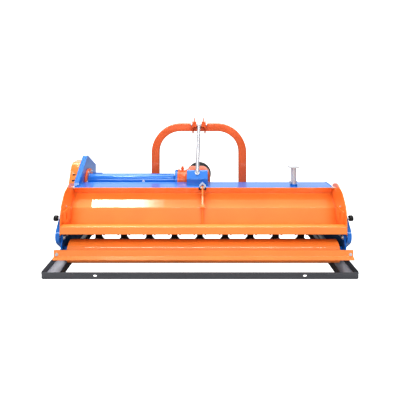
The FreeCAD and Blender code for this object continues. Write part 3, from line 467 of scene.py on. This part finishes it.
def housing_bolts():
    """Bolts of the rear guard, the roller arms, the rotor bearing and the belt guard."""
    shape = bmesh.new()
    big, small = hex_bolt(0.012), hex_bolt(0.009)
    nut = hex_nut(0.012)
    guard_low, guard_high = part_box("rear_guard")
    guard_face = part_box("guard_brackets")[LOW].y - 0.004
    for x in (guard_low.x + 0.018, guard_high.x - 0.017):
        stamp(shape, small, facing(Vector((x, guard_face, REAR_GUARD_BOLT_Z)), -Y))
    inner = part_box("roller_bearings")[HIGH].x - 0.010 - HINGE.x
    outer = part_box("rotor_bearing_right")[LOW].x - HINGE.x
    for x, axis in both_sides(inner):
        for y, z in ROLLER_ARM_BOLTS:
            stamp(shape, big, facing(Vector((x, y, z)), -axis))
    for x, axis in both_sides(outer):
        for y, z in ROLLER_ARM_BOLTS:
            stamp(shape, nut, facing(Vector((x, y, z)), axis))
    flange = Vector((HINGE.x + outer + 0.016, ROTOR.y, ROTOR.z))
    for place in bolt_circle(flange, X, ROTOR_BOLT_CIRCLE, (45, 135, 225, 315)):
        stamp(shape, nut, place)
    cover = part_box("belt_guard")[LOW].x + 0.0005
    for y, z in BELT_GUARD_BOLTS:
        stamp(shape, small, facing(Vector((cover, y, z)), -X))
    piece("housing_bolts", shape, "zinc")


def roller_bearing_bolts():
    """Three small bolts round each roller bearing, and the rotor bearing's grease nipple."""
    shape = bmesh.new()
    small = hex_bolt(0.006)
    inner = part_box("roller_bearings")[HIGH].x - HINGE.x - 0.030
    for x, axis in both_sides(inner):
        centre = Vector((x, ROLLER.y, ROLLER.z))
        for place in bolt_circle(centre, -axis, ROLLER_BOLT_CIRCLE, (90, 210, 330)):
            stamp(shape, small, place)
    stamp(shape, grease_nipple(), facing(ROTOR + NIPPLE, Z))
    piece("roller_bearing_bolts", shape, "zinc")


def housing_welds():
    """Beads where the deck's three panels meet the side plates."""
    shape = bmesh.new()
    low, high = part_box("deck")
    rear = ((low.y + 0.004, high.z), (-0.042, high.z))
    middle = ((-0.038, high.z), (0.06, 0.402))
    front = ((0.062, 0.4015), (0.298, 0.3128))
    for x, _ in both_sides(high.x - HINGE.x - 0.001):
        for start, end in (rear, middle, front):
            straight_bead(shape, (x, *start), (x, *end))
    piece("housing_welds", shape, "blue_paint")


def flap_curls():
    """Rolled eyes of the front flaps on their rod."""
    shape = bmesh.new()
    low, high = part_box("front_flaps")
    radius = (high.y - low.y) / 2
    pitch = (high.x - low.x) / FLAP_COUNT
    lip, bulge = radius + 0.003, radius + 0.0035
    eye = turned([(0, 0.004), (lip, 0.004), (bulge, 0.006), (bulge, pitch - 0.006),
                  (lip, pitch - 0.004), (0, pitch - 0.004)], 16)
    for index in range(FLAP_COUNT):
        stamp(shape, eye, facing(Vector((low.x + index * pitch, (low.y + high.y) / 2, high.z - radius)), X))
    piece("front_flap_curls", shape, "rotor_steel")


def vent_shade_strips():
    """Black strips that paint the shade inside the belt guard's rear vents: one under the lower slot, one on the
    upper notch.
    """
    shape = bmesh.new()
    low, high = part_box("belt_guard")
    for z, depth in VENTS:
        y = VENT_FOOT.y + (z - VENT_FOOT.z) / math.tan(VENT_SLOPE)
        strip = bmesh.new()
        bmesh.ops.create_grid(strip, x_segments=4, y_segments=2, size=0.5)
        bmesh.ops.scale(strip, vec=(0.0205, 0.0095, 1), verts=strip.verts)
        bmesh.ops.solidify(strip, geom=strip.faces[:], thickness=0.0008)
        place = Matrix.Translation(((low.x + high.x) / 2, y, z)) @ Matrix.Rotation(VENT_SLOPE, 4, "X")
        stamp(shape, as_mesh(strip), place @ Matrix.Translation((0, 0, -depth)))
    # Painted shade: the black plastic finish stands for the dark inside of the vents.
    piece("belt_guard_vent_shade_strips", shape, "black_plastic")


# ---- Hood ----

HOOD_FOLDS = (Vector((0, -0.165, 0.434)), Vector((0, -0.253, 0.362)), Vector((0, -0.284, 0.255)))
# Place of the cheek bolt whose bright zinc is a painted highlight at the lock bracket's top edge.
CHEEK_HIGHLIGHT_BOLT = (-0.345, 0.400)
KNOB_LOBES = 6
KNOB_STEPS = 48
KNOB_LENGTH = 0.026
KNOB_GAP = 0.0285


def hood_welds():
    """Beads that join the hood's two panels to its cheeks."""
    shape = bmesh.new()
    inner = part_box("hood_skin")[HIGH].x - HINGE.x
    for x, _ in both_sides(inner - 0.0015):
        lift = Vector((x, -0.002, 0.003))
        for start, end in zip(HOOD_FOLDS, HOOD_FOLDS[1:]):
            straight_bead(shape, start + lift, end + lift, 0.0042, 0.009)
    piece("hood_welds", shape, "orange_paint", "hood")


def hood_highlight_bolts():
    """One small bolt through each cheek, in bright zinc as a painted highlight at the lock bracket's top edge."""
    shape = bmesh.new()
    bolt = hex_bolt(0.0055)
    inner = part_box("hood_skin")[HIGH].x - HINGE.x
    for x, axis in both_sides(inner):
        stamp(shape, bolt, facing(Vector((x, *CHEEK_HIGHLIGHT_BOLT)), -axis))
    # The zinc here is a painted highlight for the lock bracket's top edge.
    piece("hood_highlight_bolts", shape, "zinc", "hood")


def knob_grip(radius):
    """Six-lobed knob with rounded ends, upright at the origin."""
    grip = bmesh.new()
    rim = bmesh.ops.create_circle(grip, segments=KNOB_STEPS, radius=radius, cap_ends=True)["verts"]
    for index, vert in enumerate(rim):
        vert.co *= 1 - 0.065 * (1 - math.cos(math.tau * KNOB_LOBES * index / KNOB_STEPS))
    body = bmesh.ops.extrude_face_region(grip, geom=grip.faces[:])["geom"]
    top = [item for item in body if isinstance(item, bmesh.types.BMVert)]
    bmesh.ops.translate(grip, verts=top, vec=(0, 0, KNOB_LENGTH))
    ends = [edge for edge in grip.edges if abs(edge.verts[0].co.z - edge.verts[1].co.z) < 1e-6]
    bmesh.ops.bevel(grip, geom=ends, offset=0.0055, segments=4, profile=0.5, affect="EDGES", material=-1)
    return as_mesh(grip)


def lock_knobs():
    """Plastic knobs on their studs, with washers at the cheeks."""
    low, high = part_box("hood_lock_knobs")
    middle = (low + high) / 2
    grip = knob_grip((high.z - low.z) / 2)
    stud = turned([(0, 0), (0.011, 0), (0.011, 0.002), (0.005, 0.002), (0.005, 0.030), (0, 0.030)], 16)
    insert = turned([(0, 0), (0.006, 0), (0.006, 0.0008), (0.0045, 0.0012), (0, 0.0012)], 16)
    knobs = bmesh.new()
    studs = bmesh.new()
    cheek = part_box("hood_cheek_right")[HIGH].x - HINGE.x
    for x, axis in both_sides(cheek):
        foot = Vector((x, middle.y, middle.z))
        stamp(studs, stud, facing(foot, axis))
        stamp(knobs, grip, facing(foot + axis * KNOB_GAP, axis))
        stamp(studs, insert, facing(foot + axis * (KNOB_GAP + KNOB_LENGTH - 0.0014), axis))
    grips = piece("lock_knob_grips", knobs, "black_plastic", "hood", crease=50)
    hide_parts("hood_lock_knobs")
    piece("lock_knob_studs", studs, "zinc", "hood")


# ---- Drive line ----

GEARBOX_REAR, GEARBOX_FRONT = -0.008, 0.118
GEARBOX_PLUG = (-0.134, 0.06)
TUBE_PLUG_X = -0.426
SHIELD_TAPER = 0.033
# Each rim's place as a share of the shield's length, and how far it stands out.
SHIELD_RIMS = ((0.985, 0.0), (0.72, 0.0012), (0.46, 0.0012), (0.2, 0.0012))
SPLINE_ROOT, SPLINE_CREST = 0.01495, 0.01746
SPLINE_STEPS = 72
SPLINE_TOOTH = 12
# Each stretch of the splined end: its length, and how much wider it ends than it starts.
SPLINE_LENGTHS = ((0.062, 1), (0.002, 0.85), (0.008, 1), (0.002, 1 / 0.85), (0.020, 1), (0.002, 0.93))
STUB_SHANK = 0.040


def drive_bolts():
    """Bolts of the tube's ring and collar, and of the gearbox's neck and cover."""
    shape = bmesh.new()
    big, small = hex_bolt(0.010), hex_bolt(0.008)
    tube_low, tube_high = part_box("shaft_tube")
    tube_y = (tube_low.y + tube_high.y) / 2
    ring = Vector((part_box("shaft_tube_ring")[HIGH].x, tube_y, PTO.z))
    collar = Vector((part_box("gearbox_collar")[LOW].x, tube_y, PTO.z))
    neck = Vector((PTO.x, GEARBOX_FRONT, PTO.z))
    cover = Vector((PTO.x, GEARBOX_REAR - 0.0055, PTO.z))
    for bolt, centre, axis, radius, angles in ((small, ring, X, 0.068, (57, 0, 180, 115)),
                                               (small, collar, -X, 0.064, (75, 20, 130)),
                                               (big, neck, Y, 0.062, range(15, 375, 60)),
                                               (small, cover, -Y, 0.063, range(0, 360, 45))):
        for place in bolt_circle(centre, axis, radius, angles):
            stamp(shape, bolt, place)
    piece("drive_bolts", shape, "zinc")


def tube_plug():
    """Plug in the rear of the shaft tube."""
    shape = bmesh.new()
    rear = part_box("shaft_tube")[LOW].y
    stamp(shape, hex_bolt(0.009), facing(Vector((TUBE_PLUG_X, rear + 0.0008, PTO.z)), -Y))
    piece("shaft_tube_plug", shape, "zinc")


def drive_welds():
    """Beads round both ends of the shaft tube and along the foot of the brace's bracket."""
    shape = bmesh.new()
    tube_low, tube_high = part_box("shaft_tube")
    tube_y = (tube_low.y + tube_high.y) / 2
    radius = (tube_high.z - tube_low.z) / 2
    for x in (tube_low.x + 0.002, tube_high.x - 0.002):
        round_bead(shape, (x, tube_y, PTO.z), X, radius + 0.001, 0.004, 0.007)
    low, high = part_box("brace_bracket")
    foot = low.z + 0.001
    straight_bead(shape, (low.x, low.y - 0.001, foot), (high.x, low.y - 0.001, foot), 0.0035)
    for x in (low.x - 0.001, high.x + 0.001):
        straight_bead(shape, (x, low.y, foot), (x, high.y, foot), 0.0035)
    piece("drive_welds", shape, "blue_paint")


def gearbox_trim():
    """Rear cover of the gearbox and the plug on its top."""
    shape = bmesh.new()
    cover = turned([(0, -0.001), (0.075, -0.001), (0.075, 0.004), (0.073, 0.006), (0.050, 0.006),
                    (0.047, 0.002), (0.030, 0.002), (0.027, 0.008), (0.024, 0.009), (0, 0.009)], 48)
    stamp(shape, cover, facing(Vector((PTO.x, GEARBOX_REAR, PTO.z)), -Y))
    piece("gearbox_cover", shape, "red_orange_paint")
    plugs = bmesh.new()
    plug = turned([(0, -0.022), (0.013, -0.022), (0.013, -0.014), (0, -0.014)], 6)
    stamp(plugs, plug, facing(Vector((*GEARBOX_PLUG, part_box("gearbox")[HIGH].z)), Z))
    piece("gearbox_plugs", plugs, "red_orange_paint")


def shield_rims():
    """Rolled lip and ribs of the PTO shield."""
    shape = bmesh.new()
    low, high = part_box("pto_shield")
    neck = (high.z - low.z) / 2 - SHIELD_TAPER
    for share, swell in SHIELD_RIMS:
        radius = neck + SHIELD_TAPER * share
        inner, outer = radius - 0.003, radius + swell
        ring = turned([(inner, -0.003), (outer, -0.003), (outer, 0.001), (inner, 0.001)], 56, closed=True)
        stamp(shape, ring, facing(Vector((PTO.x, low.y + (high.y - low.y) * share, PTO.z)), Y))
    piece("pto_shield_rims", shape, "black_plastic")


def splined_end():
    """Six-splined shaft end with its locking groove, upright at the origin."""
    shape = bmesh.new()
    rim = bmesh.ops.create_circle(shape, segments=SPLINE_STEPS, radius=1.0, cap_ends=True)["verts"]
    for index, vert in enumerate(rim):
        vert.co *= SPLINE_CREST if index % SPLINE_TOOTH < SPLINE_TOOTH / 2 else SPLINE_ROOT
    for length, swell in SPLINE_LENGTHS:
        top = [max(shape.faces, key=lambda face: face.calc_center_median().z)]
        grown = bmesh.ops.extrude_face_region(shape, geom=top)["geom"]
        bmesh.ops.delete(shape, geom=top, context="FACES_ONLY")
        ring = [item for item in grown if isinstance(item, bmesh.types.BMVert)]
        bmesh.ops.translate(shape, verts=ring, vec=(0, 0, length))
        bmesh.ops.scale(shape, verts=ring, vec=(swell, swell, 1))
    return as_mesh(shape)


def pto_spline():
    """The input shaft: a plain shank and its splined end."""
    low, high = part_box("pto_stub")
    radius = (high.z - low.z) / 2
    shape = bmesh.new()
    shank = turned([(0, 0), (radius, 0), (radius, STUB_SHANK - 0.002), (radius - 0.002, STUB_SHANK),
                    (0, STUB_SHANK)], 36)
    stamp(shape, splined_end(), facing(Vector((PTO.x, low.y + STUB_SHANK, PTO.z)), Y))
    stamp(shape, shank, facing(Vector((PTO.x, low.y, PTO.z)), Y))
    made = piece("pto_splined_shaft", shape, "bare_steel", "input_shaft")
    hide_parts("pto_stub")


# ---- Rotor and roller ----

FLAIL_COUNT = 36
FLAIL_PITCH = 0.046
FLAIL_PIVOT = 0.110
FLAIL_LUG = 0.045
ROLLER_DISC = 0.8445


def rotor_fasteners():
    """Bolt head and nut at every flail pivot, each a quarter turn on from the last."""
    shape = bmesh.new()
    head = turned([(0, -0.0005), (0.012, -0.0005), (0.012, 0.006), (0.010, 0.0075), (0, 0.0075)], 6)
    nut = turned([(0, -0.0005), (0.0125, -0.0005), (0.0125, 0.009), (0.010, 0.0105), (0.006, 0.0105),
                  (0.006, 0.014), (0, 0.014)], 6)
    for index in range(FLAIL_COUNT):
        turn = math.radians(90 * (index + 1))
        along = FLAIL_PITCH * (index - (FLAIL_COUNT - 1) / 2)
        pivot = ROTOR + along * X + FLAIL_PIVOT * (math.cos(turn) * Z - math.sin(turn) * Y)
        stamp(shape, head, facing(pivot + FLAIL_LUG * X, X))
        stamp(shape, nut, facing(pivot - FLAIL_LUG * X, -X))
    piece("flail_bolts", shape, "black_steel", "rotor")


def roller_welds():
    """Beads round the roller's end discs."""
    shape = bmesh.new()
    low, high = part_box("roller")
    radius = (high.z - low.z) / 2 - 0.0085
    for x in (ROLLER.x - ROLLER_DISC, ROLLER.x + ROLLER_DISC):
        round_bead(shape, (x, ROLLER.y, ROLLER.z), X, radius, 0.004, 0.009)
    piece("roller_welds", shape, "orange_paint", "roller_body")


# ---- Hitch ----

HOOP_TUBE = 0.060


def on_front_slope(x, y):
    """Point on the deck's front panel, which falls from the knee towards the tractor."""
    return Vector((x, y, 0.4025 - 0.375 * (y - 0.060)))


def hitch_welds():
    """Beads round the hoop's feet."""
    shape = bmesh.new()
    low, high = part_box("hitch_hoop")
    for inside, outside in ((low.x + HOOP_TUBE, low.x), (high.x - HOOP_TUBE, high.x)):
        corners = [on_front_slope(x, y) for x, y in ((inside, low.y), (outside, low.y),
                                                     (outside, high.y), (inside, high.y))]
        for start, end in zip(corners, corners[1:] + corners[:1]):
            straight_bead(shape, start, end)
    piece("hitch_foot_welds", shape, "red_orange_paint")


def linchpins():
    """Ring clips at the ends of the lower-link pins, and the brace pin's split pins."""
    shape = bmesh.new()
    low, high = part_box("lower_link_pins")
    middle = (low + high) / 2
    pin = turned([(0, -0.024), (0.004, -0.024), (0.005, -0.022), (0.005, 0.020), (0.009, 0.022),
                  (0.009, 0.028), (0, 0.028)], 12)
    for x in (low.x + 0.014, high.x - 0.014):
        stamp(shape, pin, facing(Vector((x, middle.y, middle.z)), Z))
        round_bead(shape, (x, middle.y - 0.001, middle.z + 0.004), X, 0.021, 0.0015, 0.006)
    low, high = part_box("brace_pin")
    middle = (low + high) / 2
    split_pin = turned([(0, -0.014), (0.0022, -0.014), (0.0022, 0.014), (0, 0.014)], 8)
    for x in (low.x + 0.004, high.x - 0.004):
        stamp(shape, split_pin, facing(Vector((x, middle.y, middle.z)), Y + Z))
    piece("linchpins", shape, "zinc")


def stand_clip():
    """Cross pin and spring ring that hold the stand leg in its collar."""
    shape = bmesh.new()
    low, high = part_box("stand_leg")
    middle = (low + high) / 2
    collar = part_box("stand_socket")[HIGH].z
    pin = turned([(0, -0.030), (0.004, -0.030), (0.005, -0.028), (0.005, 0.026), (0.008, 0.026),
                  (0.008, 0.030), (0, 0.030)], 12)
    stamp(shape, pin, facing(Vector((middle.x, middle.y, collar + 0.012)), Vector((-1, -0.25, 0))))
    ring = (middle.x - 0.028, middle.y - 0.008, collar + 0.0205)
    round_bead(shape, ring, Vector((1, 0.3, 0)), 0.011, 0.0014, 0.005)
    piece("stand_clip", shape, "zinc", "stand")


# ---- Shipping frame ----

CHANNEL_WALL = 0.005
CHANNEL_LIP_Z = 0.039


def frame_welds():
    """Beads where the channels meet the end bars."""
    shape = bmesh.new()
    for node in ("shipping_channel_left", "shipping_channel_right"):
        low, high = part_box(node)
        left, right, web = low.x + CHANNEL_WALL, high.x - CHANNEL_WALL, CHANNEL_WALL + 0.001
        for y in (low.y + 0.001, high.y - 0.001):
            for x in (left + 0.001, right - 0.001):
                straight_bead(shape, (x, y, CHANNEL_WALL), (x, y, CHANNEL_LIP_Z), 0.0035, 0.007)
            straight_bead(shape, (left, y, web), (right, y, web), 0.0035, 0.007)
    piece("shipping_frame_welds", shape, "black_steel")


# ---- Studio ----

FLOOR_WHITE = 1.1
FLOOR_GREY = 0.55
ROOM_LIGHT = 0.22
SCREEN_WHITE = 1.0
STRIP_Y, STRIP_Z = -0.485, 3.0
STRIP_WIDTH = 0.27
STRIP_FADE = (16.0, 10.0, 6.0, 3.5, 2.0)
LENS_MM = 32.85
LENS_SHIFT = -0.2875
CAMERA_PLACE = (0, -2.74, 1.197)


def studio_floor():
    """Plain pale floor that shows white to the camera and is grey to the light that falls on it."""
    def build(start):
        seen = start.node("LightPath", output="Is Camera Ray")
        pale = start.node("BsdfDiffuse", {}, {"Color": rgba([FLOOR_GREY] * 3)})
        bright = start.node("Emission", {}, {"Strength": FLOOR_WHITE})
        return start.node("MixShader", {}, {0: seen, 1: pale, 2: bright})
    mesh = bpy.data.meshes.new("floor")
    floor = bmesh.new()
    bmesh.ops.create_grid(floor, x_segments=1, y_segments=1, size=30.0)
    floor.to_mesh(mesh)
    floor.free()
    mesh.materials.append(finish("floor", build))
    ground = bpy.data.objects.new("floor", mesh)
    ground.location.z = cad_low[2] - 0.0005
    bpy.context.scene.collection.objects.link(ground)


def soft_box(name, place, target, size, radiance):
    """Rectangular area light of a given radiance, aimed at a point."""
    light = bpy.data.lights.new(name, "AREA")
    light.shape = "RECTANGLE"
    light.size, light.size_y = size
    light.energy = radiance * math.pi * size[0] * size[1]
    lamp = bpy.data.objects.new(name, light)
    lamp.location = place
    lamp.rotation_euler = (Vector(target) - Vector(place)).to_track_quat("-Z", "Y").to_euler()
    bpy.context.scene.collection.objects.link(lamp)


def world_light():
    """White screen all round that gives the machine only a little light."""
    world = bpy.data.worlds.new("studio")
    world.use_nodes = True
    world.node_tree.nodes.clear()
    start = Shade(world.node_tree)
    seen = start.node("LightPath", output="Is Camera Ray")
    walls = start.node("Background", {}, {"Strength": ROOM_LIGHT})
    screen = start.node("Background", {}, {"Strength": SCREEN_WHITE})
    shown = start.node("MixShader", {}, {0: seen, 1: walls, 2: screen})
    start.node("OutputWorld", {}, {"Surface": shown})
    bpy.context.scene.world = world


def soft_boxes():
    """Area lights: three on the camera's side, two overhead, one beyond, and a strip that fades out."""
    soft_box("window_box", (0.1, -3.4, 4.3), (0.1, -0.4, 0.2), (4.6, 0.2), 14.0)
    soft_box("low_box", (0, -5.0, 2.3), (0, 0, 0.35), (7.0, 1.0), 5.8)
    soft_box("front_box", (0, -2.6, 4.2), (0, -0.4, 0.3), (8.0, 2.6), 0.2)
    soft_box("roof_box", (0.45, -0.5, 3.5), (0.45, -0.5, 0), (3.7, 1.6), 0.65)
    soft_box("ceiling_box", (-0.2, 1.1, 3.4), (-0.2, 0.6, 0), (5.0, 1.8), 3.8)
    soft_box("backdrop_box", (0, 5.0, 1.9), (0, 0, 1.0), (9.0, 3.2), 0.55)
    soft_box("strip_box", (-1.165, STRIP_Y, STRIP_Z), (-1.165, STRIP_Y, 0), (0.64, STRIP_WIDTH), 24.0)
    for index, radiance in enumerate(STRIP_FADE):
        x = -0.81 + 0.07 * index
        name = "strip_end_%d" % index
        soft_box(name, (x, STRIP_Y, STRIP_Z), (x, STRIP_Y, 0), (0.07, STRIP_WIDTH), radiance)


def camera():
    """Level camera behind the machine."""
    lens = bpy.data.cameras.new("camera")
    lens.sensor_width = 36.0
    lens.lens = LENS_MM
    lens.shift_y = LENS_SHIFT
    view = bpy.data.objects.new("camera", lens)
    view.location = CAMERA_PLACE
    view.rotation_euler = (math.radians(90), 0, 0)
    bpy.context.scene.collection.objects.link(view)
    bpy.context.scene.camera = view
    bpy.context.scene.view_settings.view_transform = "Standard"
    bpy.context.scene.view_settings.look = "High Contrast"


finish_solids()
for node, width in ROUNDED_EDGES.items():
    rounded(node, width)
for make in (housing_bolts, roller_bearing_bolts, housing_welds, flap_curls, vent_shade_strips,
             hood_welds, hood_highlight_bolts, lock_knobs,
             drive_bolts, tube_plug, drive_welds, gearbox_trim, shield_rims, pto_spline,
             rotor_fasteners, roller_welds,
             hitch_welds, linchpins, stand_clip, frame_welds,
             world_light, soft_boxes, studio_floor, camera):
    make()
